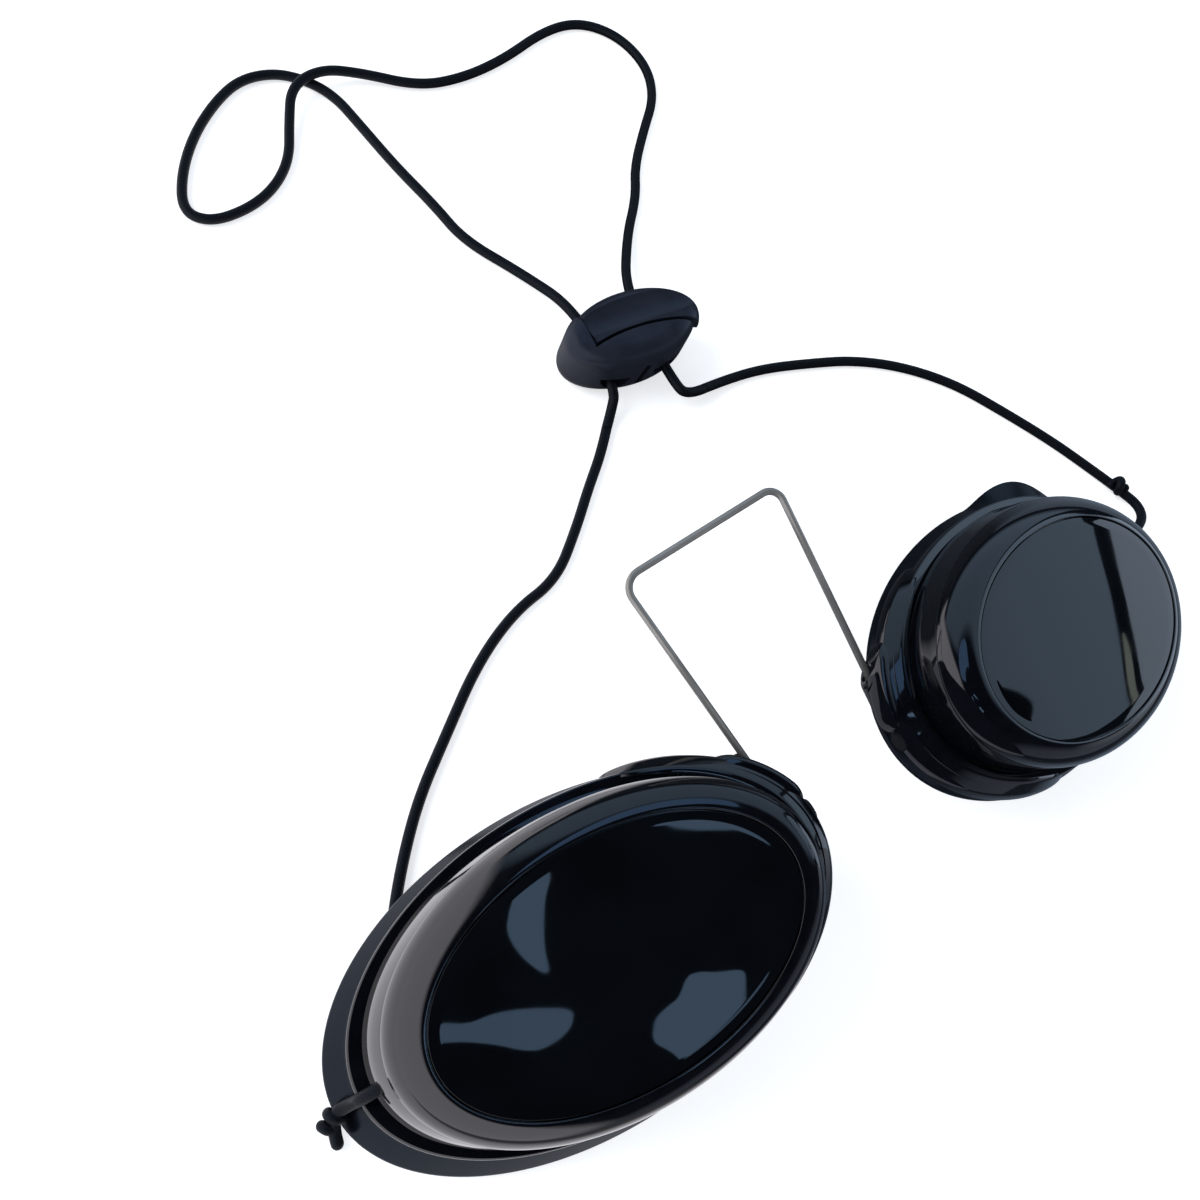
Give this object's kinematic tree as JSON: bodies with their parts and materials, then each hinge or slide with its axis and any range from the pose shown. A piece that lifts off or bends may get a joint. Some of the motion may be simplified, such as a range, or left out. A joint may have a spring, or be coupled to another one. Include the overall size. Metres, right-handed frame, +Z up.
{
  "type": "tanning goggles",
  "caption": "Black tanning goggles with two oval dark lenses, a bent wire nose bridge and an elastic cord with a two-hole cord lock.",
  "frame": {"origin": "centre of the goggles' footprint on the table they lie on, cord left out, Z zero at the table", "axes": "+X from the left eyepiece to the right one as pictured, +Y up the face toward the bridge wire, +Z up from the table, out of the lenses"},
  "size_m": [0.159, 0.1596, 0.0298],
  "materials": {
    "black_gloss": "glossy injection-moulded plastic",
    "dark_lens": "polished opaque dark lens",
    "soft_black": "satin soft seal",
    "steel_wire": "drawn round wire",
    "lock_black": "satin moulded plastic",
    "cord_black": "round elastic cord"
  },
  "bodies": {
    "bridge": {"bridge_wire": "steel_wire", "lock_body": "lock_black", "cord_loop": "cord_black"},
    "left_eyepiece": {"left_shell": "black_gloss", "left_bezel": "black_gloss", "left_lens": "dark_lens", "left_skirt": "soft_black", "left_nose_band": "black_gloss", "left_cord_anchor": "cord_black", "cord_left": "cord_black"},
    "right_eyepiece": {"right_shell": "black_gloss", "right_bezel": "black_gloss", "right_lens": "dark_lens", "right_skirt": "soft_black", "right_nose_band": "black_gloss", "right_cord_anchor": "cord_black", "cord_right": "cord_black"},
    "button": {"lock_button": "lock_black"}
  },
  "joints": [
    {"name": "left_swing", "type": "hinge", "parent": "bridge", "child": "left_eyepiece", "pos_m": [-0.01042, -0.00297, 0.01719], "axis": [-0.0682, 0.9897, 0.1259], "range_deg": [-20, 20]},
    {"name": "right_swing", "type": "hinge", "parent": "bridge", "child": "right_eyepiece", "pos_m": [0.01022, -0.00252, 0.01814], "axis": [-0.0745, -0.9755, -0.2071], "range_deg": [-20, 20]},
    {"name": "button_press", "type": "slide", "parent": "bridge", "child": "button", "axis": [0, 0, 1], "range_m": [-0.0018, 0], "stiffness_N_per_m": 600, "springref_m": 0.001}
  ]
}
